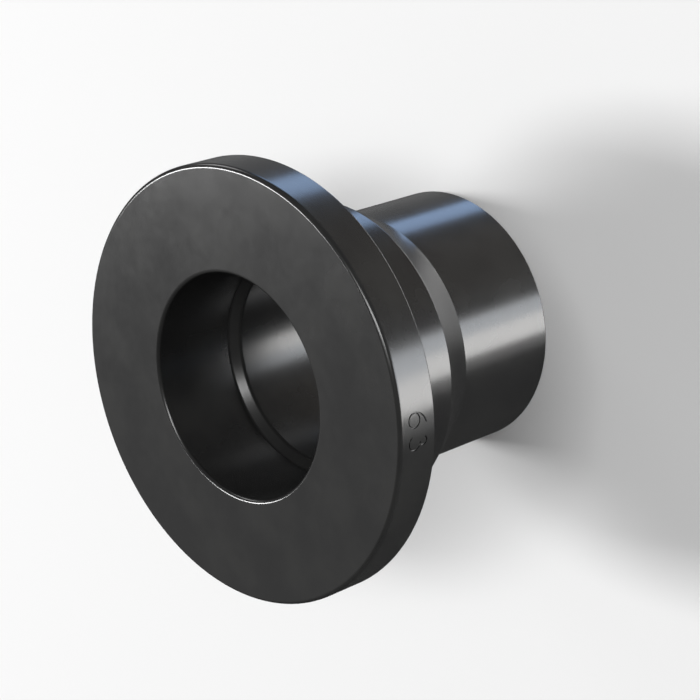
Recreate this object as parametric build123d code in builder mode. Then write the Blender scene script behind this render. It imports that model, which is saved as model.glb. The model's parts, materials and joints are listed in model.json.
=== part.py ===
from build123d import *
import os

# Lap joint stub end for a butt-welded plastic pipe, moulded and turned in one piece.
# It stands on its weld end at z = 0 with the sealing face on top, and the pipe axis is Z.
# All sizes are in millimetres.

# Spigot that is welded to the pipe
pipe_od = 63.0
pipe_wall = 6.5
spigot_length = 29.0

# Hub that the loose backing flange slides over, and the cone down to the spigot
hub_step = 6.0
hub_length = 21.5
cone_length = 11.5

# Collar with the sealing face on top and the lap shoulder below
lap_width = 14.75
collar_thickness = 11.0

# Wider bore inside the collar, and the short cone where it narrows to the pipe's bore
mouth_step = 2.0
mouth_depth = 22.5
bore_cone_length = 2.2

# Softened edges
front_edge_radius = 1.1
mouth_edge_radius = 0.9
bore_cone_top_radius = 1.0
bore_cone_foot_radius = 1.4
back_edge_radius = 0.4
lap_root_radius = 3.0
hub_edge_radius = 0.6
neck_radius = 0.3
weld_edge_chamfer = 0.3

# Engraved number 63 on the rim, the spigot's diameter, and how far the six's upper end
# reaches past the middle of its bowl
digit_height = 5.4
digit_width = 3.4
digit_gap = 1.8
six_tip_reach = 1.2
stroke_width = 0.36
stroke_depth = 0.3

# Radii and heights that follow from the sizes above
pipe_radius = pipe_od / 2
pipe_bore_radius = pipe_radius - pipe_wall
hub_radius = pipe_radius + hub_step
collar_radius = hub_radius + lap_width
mouth_radius = pipe_bore_radius + mouth_step
cone_top = spigot_length + cone_length
shoulder_height = cone_top + hub_length
face_height = shoulder_height + collar_thickness
bore_cone_top = face_height - mouth_depth
bore_cone_foot = bore_cone_top - bore_cone_length
number_height = shoulder_height + collar_thickness / 2

# The number faces the front, with the tops of its digits towards the weld end,
# so it reads towards -X.
number_plane = Plane(
    origin=(0, -collar_radius, number_height),
    x_dir=(-1, 0, 0),
    z_dir=(0, -1, 0),
)
six_centre = -(digit_width + digit_gap) / 2
three_centre = -six_centre
digit_foot = -digit_height / 2
digit_top = digit_height / 2
bowl_radius = digit_width / 2
bowl_height = digit_foot + bowl_radius
small_bowl_radius = (digit_height - digit_width) / 2
small_bowl_height = digit_top - small_bowl_radius

# The strokes of the two digits, cut down to a shell just under the rim so that
# the groove is equally deep all along the curve.
with BuildPart() as number_cutter:
    with BuildSketch(number_plane):
        # The six: a closed bowl, and one long curve from its left side to the upper right
        with Locations((six_centre, bowl_height)):
            Circle(bowl_radius + stroke_width / 2)
            Circle(bowl_radius - stroke_width / 2, mode=Mode.SUBTRACT)
        with BuildLine():
            TangentArc(
                (six_centre - bowl_radius, bowl_height),
                (six_centre + six_tip_reach, digit_top),
                tangent=(0, 1),
            )
        trace(line_width=stroke_width)
        # The three: two open bowls that meet in the middle, the lower one larger
        with BuildLine():
            CenterArc((three_centre, bowl_height), bowl_radius, 90, -240)
        trace(line_width=stroke_width)
        with BuildLine():
            CenterArc((three_centre, small_bowl_height), small_bowl_radius, -90, 240)
        trace(line_width=stroke_width)
    extrude(amount=-collar_radius / 2)
    with BuildSketch(Plane.XY.offset(shoulder_height)):
        Circle(collar_radius + stroke_depth)
        Circle(collar_radius - stroke_depth, mode=Mode.SUBTRACT)
    extrude(amount=collar_thickness, mode=Mode.INTERSECT)

# Half section of the turned body, revolved about the pipe axis.
with BuildPart() as stub_end:
    with BuildSketch(Plane.XZ) as section:
        with BuildLine():
            Polyline(
                (pipe_bore_radius, 0),
                (pipe_radius, 0),
                (pipe_radius, spigot_length),
                (hub_radius, cone_top),
                (hub_radius, shoulder_height),
                (collar_radius, shoulder_height),
                (collar_radius, face_height),
                (mouth_radius, face_height),
                (mouth_radius, bore_cone_top),
                (pipe_bore_radius, bore_cone_foot),
                close=True,
            )
        make_face()
        softened = [
            (collar_radius, face_height, front_edge_radius),
            (mouth_radius, face_height, mouth_edge_radius),
            (mouth_radius, bore_cone_top, bore_cone_top_radius),
            (pipe_bore_radius, bore_cone_foot, bore_cone_foot_radius),
            (collar_radius, shoulder_height, back_edge_radius),
            (hub_radius, shoulder_height, lap_root_radius),
            (hub_radius, cone_top, hub_edge_radius),
            (pipe_radius, spigot_length, neck_radius),
        ]
        for radius, height, rounding in softened:
            fillet(section.vertices().sort_by_distance((radius, height))[0], rounding)
        chamfer(section.vertices().sort_by_distance((pipe_radius, 0))[0], weld_edge_chamfer)
    revolve(axis=Axis.Z)
    add(number_cutter.part, mode=Mode.SUBTRACT)

stub_end.part.label = "stub_end"

os.makedirs("parts", exist_ok=True)
export_step(stub_end.part, "parts/stub_end.step")
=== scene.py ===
# %% [markdown]
# # A lap joint stub end in black polyethylene
#
# A stub end is welded to the end of a plastic pipe, and a loose metal flange slides over it
# and pulls its collar against the next flange. This one is for pipe of 63 mm. It is one
# moulded and turned piece, so the lesson has one piece to model, one engraved number, one
# finish and the light that shows that finish.
#
# The CAD model is loaded first. It is the frame: it says how large everything is and where
# it stands, and it is never changed here.

# %% Load the frame
import json
import math

import bmesh
import bpy
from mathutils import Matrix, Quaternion, Vector


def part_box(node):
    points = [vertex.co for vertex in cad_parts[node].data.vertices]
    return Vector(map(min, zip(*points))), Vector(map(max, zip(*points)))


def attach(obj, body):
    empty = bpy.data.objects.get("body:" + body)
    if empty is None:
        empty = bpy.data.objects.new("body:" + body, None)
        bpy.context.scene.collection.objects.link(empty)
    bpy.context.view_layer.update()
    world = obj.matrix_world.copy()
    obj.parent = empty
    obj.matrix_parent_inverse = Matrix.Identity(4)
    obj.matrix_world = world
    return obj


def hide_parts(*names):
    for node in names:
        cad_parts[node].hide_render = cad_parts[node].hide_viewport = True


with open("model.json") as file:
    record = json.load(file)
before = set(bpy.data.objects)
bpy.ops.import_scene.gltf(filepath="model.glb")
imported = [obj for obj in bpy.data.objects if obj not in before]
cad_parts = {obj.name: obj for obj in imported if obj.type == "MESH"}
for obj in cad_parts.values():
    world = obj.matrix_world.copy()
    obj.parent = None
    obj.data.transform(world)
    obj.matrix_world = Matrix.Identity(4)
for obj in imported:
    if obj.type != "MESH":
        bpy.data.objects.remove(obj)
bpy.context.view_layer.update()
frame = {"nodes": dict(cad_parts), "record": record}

print("CAD nodes:", sorted(frame["nodes"]))

# %% [markdown]
# ## The camera
#
# The camera comes first, because everything else is judged through it. Its place was worked
# out from the photograph: the circles of the collar, the mouth and the weld end are ellipses
# there, and only one viewpoint gives all of them. It looks down on the sealing face from
# the front right with a long lens, and it is rolled well over, so that the pipe axis lies
# across the picture. Its direction is given by two angles, as those of the lamps are later.

# %% Say a direction in angles
def direction_of(plan, elevation):
    """The direction of two angles in degrees. Plan angles go from +X towards +Y."""
    plan = math.radians(plan)
    elevation = math.radians(elevation)
    return Vector((
        math.cos(plan) * math.cos(elevation),
        math.sin(plan) * math.cos(elevation),
        math.sin(elevation),
    ))


# %% Place the camera
towards_viewer = direction_of(-65.64, 42.03)
view_roll = math.radians(-108.83)
view_distance = 0.5547
view_target = Vector((0.0001, -0.0009, 0.0365))

camera_data = bpy.data.cameras.new("camera")
camera_data.sensor_width = 36.0
camera_data.lens = 118.92
camera_data.clip_start = 0.01
camera_data.clip_end = 50.0
camera = bpy.data.objects.new("camera", camera_data)
bpy.context.scene.collection.objects.link(camera)
camera.location = view_target + towards_viewer * view_distance
camera.rotation_mode = "QUATERNION"
camera.rotation_quaternion = (
    towards_viewer.to_track_quat("Z", "Y") @ Quaternion((0, 0, 1), view_roll)
)
bpy.context.scene.camera = camera
print("camera at", tuple(round(value, 3) for value in camera.location))

# %% [markdown]
# ## Sizes
#
# What the CAD model states is read from it: the outer box, and the mounts, which are the
# cylinders and flat faces where other parts fit. Only the sizes that no mount gives are
# written here, in metres like everything in Blender.

# %% Read and name the sizes
MM = 0.001

mounts = {mount["name"]: mount for mount in frame["record"]["mounts"]}
low_corner, high_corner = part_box("stub_end")

spigot_radius = mounts["spigot"]["dims"]["r_mm"] * MM
hub_radius = mounts["hub"]["dims"]["r_mm"] * MM
collar_radius = round((high_corner.x - low_corner.x) / 2, 5)
mouth_radius = mounts["collar_bore"]["dims"]["r_mm"] * MM
pipe_bore_radius = mounts["pipe_bore"]["dims"]["r_mm"] * MM

face_height = round(high_corner.z, 5)
shoulder_height = mounts["lap_shoulder"]["pos_m"][2]
neck_height = 29.0 * MM
cone_top = 40.5 * MM
bore_cone_top = 50.5 * MM
bore_cone_foot = 48.3 * MM

front_edge_radius = 1.1 * MM
mouth_edge_radius = 0.9 * MM
bore_cone_top_radius = 1.0 * MM
bore_cone_foot_radius = 1.4 * MM
back_edge_radius = 0.4 * MM
lap_root_radius = 3.0 * MM
hub_edge_radius = 0.6 * MM
neck_edge_radius = 0.3 * MM
weld_edge_chamfer = 0.3 * MM

print(f"collar {2 * collar_radius / MM:.1f} mm wide, part {face_height / MM:.1f} mm tall")

# %% [markdown]
# ## The turned body
#
# The real piece is turned, so each of its faces is a ring about the pipe axis. It could be
# made by spinning a half section round the axis. Here it is pulled out of one circle
# instead, ring by ring, which needs the same few numbers and leaves every ring of edges
# in reach for its own rounding.
#
# The rings go up the outside, over the sealing face and down the bore. Then the last ring is
# bridged to the first one, which closes the body at its weld end.

# %% Select rings of edges by their place
def select_rings(body, places):
    """In edit mode, select only the rings of edges that lie at these (radius, height)."""
    mesh = bmesh.from_edit_mesh(body.data)
    tolerance = 0.002 * MM

    def on_ring(vertex, radius, height):
        away = abs(vertex.co.xy.length - radius)
        return away < tolerance and abs(vertex.co.z - height) < tolerance

    for part in (*mesh.verts, *mesh.edges, *mesh.faces):
        part.select = False
    for edge in mesh.edges:
        for radius, height in places:
            if all(on_ring(vertex, radius, height) for vertex in edge.verts):
                edge.select_set(True)
    bmesh.update_edit_mesh(body.data)


# %% Pull the body out of a circle
ring_sides = 480
section = [
    (spigot_radius, 0.0),
    (spigot_radius, neck_height),
    (hub_radius, cone_top),
    (hub_radius, shoulder_height),
    (collar_radius, shoulder_height),
    (collar_radius, face_height),
    (mouth_radius, face_height),
    (mouth_radius, bore_cone_top),
    (pipe_bore_radius, bore_cone_foot),
    (pipe_bore_radius, 0.0),
]

bpy.ops.object.select_all(action="DESELECT")
bpy.ops.mesh.primitive_circle_add(vertices=ring_sides, radius=section[0][0])
stub_end = bpy.context.object
stub_end.name = "stub_end_turned"
bpy.ops.object.mode_set(mode="EDIT")
bpy.ops.mesh.select_mode(type="EDGE")
for (radius, height), (next_radius, next_height) in zip(section, section[1:]):
    bpy.ops.mesh.extrude_edges_move(
        TRANSFORM_OT_translate={"value": (0, 0, next_height - height)}
    )
    widening = next_radius / radius
    bpy.ops.transform.resize(value=(widening, widening, 1), center_override=(0, 0, 0))
select_rings(stub_end, [section[0], section[-1]])
bpy.ops.mesh.bridge_edge_loops()
print(f"body of {len(section)} rings with {ring_sides} sides")

# %% [markdown]
# A turned edge is never quite sharp, and on black plastic these small roundings are what
# draws the part: each one shows as a thin bright line. So every ring gets the radius that
# the tool left there, and the weld end a small chamfer. The bevel's width is measured along
# the faces, and between two faces that turn by an angle, an arc of radius r starts r times
# the tangent of half that angle away from the corner.

# %% Round the rings
def turn_at(index):
    """The angle between the two sides of the section that meet at one of its corners."""
    before = Vector(section[index]) - Vector(section[index - 1])
    after = Vector(section[(index + 1) % len(section)]) - Vector(section[index])
    return before.angle(after)


# Each ring's place in the section, with its radius and how many facets its arc gets
rounded = {
    1: (neck_edge_radius, 5),
    2: (hub_edge_radius, 4),
    3: (lap_root_radius, 12),
    4: (back_edge_radius, 6),
    5: (front_edge_radius, 10),
    6: (mouth_edge_radius, 10),
    7: (bore_cone_top_radius, 6),
    8: (bore_cone_foot_radius, 6),
}
for index, (radius, segments) in rounded.items():
    select_rings(stub_end, [section[index]])
    bpy.ops.mesh.bevel(
        offset=radius * math.tan(turn_at(index) / 2),
        offset_type="OFFSET",
        segments=segments,
        profile=0.5,
        affect="EDGES",
    )
select_rings(stub_end, [section[0]])
bpy.ops.mesh.bevel(offset=weld_edge_chamfer, offset_type="OFFSET", segments=1, affect="EDGES")
bpy.ops.mesh.select_all(action="SELECT")
bpy.ops.mesh.normals_make_consistent(inside=False)
bpy.ops.object.mode_set(mode="OBJECT")
print(f"{len(rounded)} rings rounded, {len(stub_end.data.polygons)} faces")

# %% [markdown]
# ## The engraved number
#
# The rim carries the size of the pipe, 63, cut by a small ball-nosed engraver whose tip
# follows a single line. The same is done here: each stroke is an arc, a small circle is
# swept along it, and the tube that this makes is taken away from the rim.
#
# The strokes are laid out flat in front of the rim and then bent round it, so that the
# groove is equally deep everywhere. The tops of the digits point towards the weld end, as on
# the real part, so the number is upside down when the part stands on that end.

# %% Work out the strokes
digit_height = 5.4 * MM
digit_width = 3.4 * MM
digit_gap = 1.8 * MM
six_tip_reach = 1.2 * MM
stroke_width = 0.36 * MM
stroke_depth = 0.3 * MM
engraver_radius = (stroke_depth + (stroke_width / 2) ** 2 / stroke_depth) / 2
engraver_sides = 16
degrees_per_step = 6
fewest_steps = 12

number_height = (shoulder_height + face_height) / 2
three_centre = (digit_width + digit_gap) / 2
six_centre = -three_centre
bowl_radius = digit_width / 2
bowl_height = bowl_radius - digit_height / 2
small_bowl_radius = (digit_height - digit_width) / 2
small_bowl_height = digit_height / 2 - small_bowl_radius

# The six's long curve leaves the bowl's left side upright and ends at the top of the digit.
stem_across = bowl_radius + six_tip_reach
stem_up = digit_height / 2 - bowl_height
stem_radius = (stem_across ** 2 + stem_up ** 2) / (2 * stem_across)
stem_centre = six_centre - bowl_radius + stem_radius
stem_sweep = math.degrees(math.atan2(stem_up, stem_radius - stem_across))

# Each stroke: the middle of its arc along the rim and up the digit, its radius, and the
# angles in degrees where it starts and how far it goes round.
strokes = [
    (six_centre, bowl_height, bowl_radius, 0, 360),
    (stem_centre, bowl_height, stem_radius, 180, -stem_sweep),
    (three_centre, bowl_height, bowl_radius, 90, -240),
    (three_centre, small_bowl_height, small_bowl_radius, -90, 240),
]
print(f"{len(strokes)} strokes, engraver of {engraver_radius / MM:.2f} mm radius")


# %% Sweep the engraver along a stroke
def sweep_stroke(along, up, radius, start, sweep):
    """A closed tube along one arc, flat in front of the rim, upside down as on the part."""
    depth = stroke_depth - engraver_radius
    centre = Vector((-along, depth - collar_radius, number_height - up))
    angle = math.radians(start)
    place = centre + radius * Vector((-math.cos(angle), 0, -math.sin(angle)))
    bpy.ops.object.select_all(action="DESELECT")
    bpy.ops.mesh.primitive_circle_add(
        vertices=engraver_sides,
        radius=engraver_radius,
        location=place,
        rotation=(0, -angle, 0),
    )
    tube = bpy.context.object
    bpy.ops.object.mode_set(mode="EDIT")
    bpy.ops.mesh.spin(
        steps=max(fewest_steps, round(abs(sweep) / degrees_per_step)),
        angle=math.radians(sweep),
        center=centre,
        axis=(0, 1, 0),
        use_auto_merge=abs(sweep) == 360,
    )
    bpy.ops.mesh.select_all(action="SELECT")
    bpy.ops.mesh.remove_doubles(threshold=0.0005 * MM)
    bpy.ops.mesh.fill_holes(sides=engraver_sides)
    bpy.ops.mesh.select_all(action="SELECT")
    bpy.ops.mesh.normals_make_consistent(inside=False)
    bpy.ops.object.mode_set(mode="OBJECT")
    bpy.ops.object.transform_apply(location=True, rotation=True, scale=True)
    return tube


# %% Engrave the number
rim_front = Vector((0, -collar_radius, number_height))
for number, stroke in enumerate(strokes):
    tube = sweep_stroke(*stroke)
    tube.name = f"engraver_path_{number}"
    bpy.context.scene.cursor.location = rim_front
    bpy.ops.object.origin_set(type="ORIGIN_CURSOR")

    bpy.ops.object.modifier_add(type="SIMPLE_DEFORM")
    bend = tube.modifiers[-1]
    bend.deform_method = "BEND"
    bend.deform_axis = "Z"
    bend.angle = tube.dimensions.x / collar_radius
    bpy.ops.object.modifier_apply(modifier=bend.name)

    bpy.context.view_layer.objects.active = stub_end
    bpy.ops.object.modifier_add(type="BOOLEAN")
    cut = stub_end.modifiers[-1]
    cut.operation = "DIFFERENCE"
    cut.solver = "EXACT"
    cut.object = tube
    bpy.ops.object.modifier_apply(modifier=cut.name)
    bpy.data.objects.remove(tube)
print(f"number engraved, {len(stub_end.data.polygons)} faces")

# %% [markdown]
# ## Smooth shading that stays true
#
# The rings are shaded smooth so that the sides don't show. Plain smooth shading would lean
# the flat faces towards the roundings beside them, and gloss shows every such lean.
# Weighted normals let the large faces win, so that flats stay flat, cylinders stay round,
# and only the roundings turn.

# %% Shade the body
sharp_from = math.radians(30)

bpy.ops.object.select_all(action="DESELECT")
stub_end.select_set(True)
bpy.context.view_layer.objects.active = stub_end
bpy.ops.object.shade_smooth_by_angle(angle=sharp_from)
bpy.ops.object.modifier_add(type="WEIGHTED_NORMAL")
weights = stub_end.modifiers[-1]
weights.keep_sharp = True
weights.weight = 100
bpy.ops.object.modifier_apply(modifier=weights.name)
print("body shaded,", len(stub_end.data.vertices), "vertices")

# %% [markdown]
# ## Shader maths in Python
#
# A finish is a formula over the surface. This small class wraps one socket of a node tree,
# so that the formula can be written as Python: 0.05 * clouds adds the Math node that it
# needs. Every other kind of node comes from its one node method.

# %% Wrap a socket
class Wire:
    """A socket of a node tree. Operators on it add Math nodes to the same tree."""

    def __init__(self, tree, socket=None):
        self.tree = tree
        self.socket = socket

    def node(self, kind, settings=None, inputs=None, output=None):
        """Add a node: its settings first, then its inputs. Returns one of its outputs."""
        made = self.tree.nodes.new(kind)
        for name, value in (settings or {}).items():
            setattr(made, name, value)
        for name, value in (inputs or {}).items():
            if isinstance(value, Wire):
                self.tree.links.new(value.socket, made.inputs[name])
            else:
                made.inputs[name].default_value = value
        return Wire(self.tree, None if output is None else made.outputs[output])

    def maths(self, operation, *values):
        """A Math node of these values, which are numbers or sockets."""
        return self.node("ShaderNodeMath", {"operation": operation}, dict(enumerate(values)), 0)

    def __add__(self, other):
        return self.maths("ADD", self, other)

    def __radd__(self, other):
        return self.maths("ADD", other, self)

    def __mul__(self, other):
        return self.maths("MULTIPLY", self, other)

    def __rmul__(self, other):
        return self.maths("MULTIPLY", other, self)

    def fade(self, start, end, low=0.0, high=1.0):
        """Low up to start, high from end on, and a smooth step between them."""
        limits = {"From Min": start, "From Max": end, "To Min": low, "To Max": high}
        return self.node(
            "ShaderNodeMapRange",
            {"interpolation_type": "SMOOTHSTEP"},
            {"Value": self, **limits},
            "Result",
        )

    def tint(self, low_colour, high_colour):
        """A colour between two others, where this value is the share of the second."""
        colours = {6: (*low_colour, 1), 7: (*high_colour, 1)}
        return self.node("ShaderNodeMix", {"data_type": "RGBA"}, {0: self, **colours}, 2)


def clear_tree(owner):
    """Empty the node tree of a material or a world, ready for its own nodes."""
    owner.use_nodes = True
    owner.node_tree.nodes.clear()
    return Wire(owner.node_tree)


print("shader maths ready")

# %% [markdown]
# ## The finish
#
# Pipe-grade polyethylene is coloured with carbon black, so hardly any light comes back from
# inside it, and what shows is a satin skin. Turning leaves faint rings on it, cooling leaves
# it slightly wavy and cloudy, and handling wears it a little. None of this has a colour of
# its own: it shows in how sharp and how even the reflections are. So the base colour is
# nearly constant, and the roughness and the bump carry the detail. The bore is left a little
# rougher than the outside, so the bands in it are softer.

# %% Make the black polyethylene
def make_polyethylene():
    """Satin black plastic with faint turning rings, clouds and grain."""
    material = bpy.data.materials.new("black_polyethylene")
    wire = clear_tree(material)
    place = wire.node("ShaderNodeTexCoord", output="Object")

    def noise(scale, detail, at=place):
        inputs = {"Vector": at, "Scale": scale, "Detail": detail, "Roughness": 0.55}
        return wire.node("ShaderNodeTexNoise", inputs=inputs, output="Fac")

    across = wire.node(
        "ShaderNodeVectorMath",
        {"operation": "MULTIPLY"},
        {0: place, 1: (1, 1, 0)},
        "Vector",
    )
    from_axis = wire.node("ShaderNodeVectorMath", {"operation": "LENGTH"}, {0: across}, "Value")
    along_axis = wire.node("ShaderNodeSeparateXYZ", inputs={0: place}, output="Z")
    ring_place = wire.node(
        "ShaderNodeCombineXYZ",
        inputs={"X": from_axis, "Y": along_axis},
        output="Vector",
    )

    clouds = noise(70.0, 3.0)
    patches = noise(420.0, 2.0)
    grain = noise(3500.0, 2.0)
    rings = noise(2600.0, 1.0, ring_place)

    shade = clouds.fade(0.35, 0.65)
    colour = shade.tint((0.016, 0.016, 0.016), (0.02, 0.02, 0.0195))
    in_bore = from_axis.fade(mouth_radius + 0.05 * MM, mouth_radius + 0.4 * MM, 1.0, 0.0)
    roughness = 0.135 + 0.05 * clouds + 0.04 * patches + 0.02 * grain + 0.06 * in_bore
    height = 0.001 * MM * grain + 0.0008 * MM * rings + 0.0015 * MM * patches
    bumped = wire.node("ShaderNodeBump", inputs={"Height": height, "Distance": 1.0}, output=0)

    shader = wire.node(
        "ShaderNodeBsdfPrincipled",
        inputs={"Base Color": colour, "Roughness": roughness, "Normal": bumped},
        output="BSDF",
    )
    wire.node("ShaderNodeOutputMaterial", inputs={"Surface": shader})
    return material


stub_end.data.materials.append(make_polyethylene())
print("finish:", stub_end.data.materials[0].name)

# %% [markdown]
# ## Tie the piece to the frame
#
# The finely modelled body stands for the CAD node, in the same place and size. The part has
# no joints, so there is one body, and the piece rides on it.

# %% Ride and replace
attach(stub_end, "root")
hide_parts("stub_end")
print("stub_end_turned stands for stub_end")

# %% [markdown]
# ## The floor
#
# A plain pale floor, wide enough to fill the picture. Gloss doesn't show it: in the photograph
# the part hangs in a dark room, and its walls mirror what lies below it there. It casts no
# shadow either, so that the lamps below it still reach the part.

# %% Lay the floor
floor_grey = (0.8, 0.8, 0.8, 1)
floor_radius = 8.0


def make_floor_paint():
    """A matt pale grey."""
    material = bpy.data.materials.new("floor_paint")
    wire = clear_tree(material)
    shader = wire.node("ShaderNodeBsdfDiffuse", inputs={"Color": floor_grey}, output=0)
    wire.node("ShaderNodeOutputMaterial", inputs={"Surface": shader})
    return material


# The cursor still stands at the rim, so the floor's place is given.
bpy.ops.object.select_all(action="DESELECT")
bpy.ops.mesh.primitive_circle_add(
    vertices=96,
    radius=floor_radius,
    fill_type="NGON",
    location=(0, 0, 0),
)
floor = bpy.context.object
floor.name = "floor"
floor.data.materials.append(make_floor_paint())
floor.visible_glossy = False
floor.visible_shadow = False
print("floor laid")

# %% [markdown]
# ## The light
#
# Black plastic is drawn by what it mirrors. The photograph shows a tall white softbox and a
# narrower bluish one as bands along every cylinder. The camera looks down on these upright
# walls, so what they mirror lies below the floor, and that is where the two stand. A third
# behind the part draws the white line along its edges and grazes the sealing face, and a
# tall one beside the camera draws the short bright lines. These two also light the floor.
#
# A softbox is brightest near its bulb and fades towards its rim. So the white one is three
# rectangles in about the same place, and the one beside the camera is two. A low one, well
# below the part, is seen mostly in the rounded edges of the shoulder and the hub.

# %% Set up the softboxes
studio_centre = Vector((0, 0, 0.04))
softbox_distance = 2.0


def add_softbox(name, plan, elevation, width, height, radiance, colour=(1, 1, 1), lean=0):
    """A rectangular lamp that faces the part. Radiance is how bright it looks in a mirror."""
    towards = direction_of(plan, elevation)
    lamp = bpy.data.lights.new(name, "AREA")
    lamp.shape = "RECTANGLE"
    lamp.size = width
    lamp.size_y = height
    lamp.energy = radiance * math.pi * width * height
    lamp.color = colour
    softbox = bpy.data.objects.new(name, lamp)
    bpy.context.scene.collection.objects.link(softbox)
    softbox.location = studio_centre + towards * softbox_distance
    upright = towards.to_track_quat("Z", "Y")
    softbox.rotation_euler = (upright @ Quaternion((0, 0, 1), math.radians(-lean))).to_euler()
    softbox.visible_camera = False


add_softbox("white_softbox", -91, -29, 0.86, 1.75, 5.9, colour=(0.95, 1.0, 1.06))
add_softbox("white_softbox_bulb", -98, -29, 0.48, 1.75, 3.2, colour=(1.12, 1.0, 0.85))
add_softbox("white_softbox_rim", -94, -29, 1.3, 1.9, 1.0)
add_softbox("blue_softbox", 30.5, -38, 0.47, 1.6, 2.25, colour=(0.66, 1.0, 1.6), lean=-8)
add_softbox("low_softbox", -26, -63, 1.6, 0.3, 8.0)
add_softbox("back_softbox", 92, 43.5, 0.38, 0.78, 34.0)
add_softbox("side_softbox", -54, 60, 0.36, 1.5, 10.5, lean=25)
add_softbox("side_softbox_rim", -54, 62, 0.85, 1.7, 1.5, lean=25)
print("five softboxes")

# %% [markdown]
# The room itself is a formula over directions: dim above, almost dark below, and a few broad
# soft spots where the photograph has them.

# %% Paint the room
def make_room():
    """The world's light, by direction."""
    world = bpy.data.worlds.new("room")
    wire = clear_tree(world)
    direction = wire.node("ShaderNodeTexCoord", output="Generated")
    up = wire.node("ShaderNodeSeparateXYZ", inputs={0: direction}, output="Z")

    def spot(plan, elevation, inner, outer):
        """One inside the inner angle from a direction, and none outside the outer one."""
        nearness = wire.node(
            "ShaderNodeVectorMath",
            {"operation": "DOT_PRODUCT"},
            {0: direction, 1: direction_of(plan, elevation)},
            "Value",
        )
        return nearness.fade(math.cos(math.radians(outer)), math.cos(math.radians(inner)))

    plain = up.fade(-0.15, 0.15, 0.035, 0.1)
    warm_wall = 0.1 * spot(-27, -43, 22, 50)
    pale_wall = 0.24 * spot(58, -42, 16, 36)
    back_wall = 0.2 * spot(112, 40, 12, 40)
    ground = 1.4 * spot(-25, -80, 4, 23)
    window = 4.2 * spot(49, 8, 4, 14)
    brightness = plain + warm_wall + pale_wall + back_wall + ground + window
    colour = spot(-27, -43, 12, 32).tint((1.0, 1.0, 1.0), (1.0, 0.8, 0.6))
    background = wire.node(
        "ShaderNodeBackground",
        inputs={"Color": colour, "Strength": brightness},
        output=0,
    )
    wire.node("ShaderNodeOutputWorld", inputs={"Surface": background})
    return world


bpy.context.scene.world = make_room()
bpy.context.scene.view_settings.view_transform = "Standard"
print("room painted")
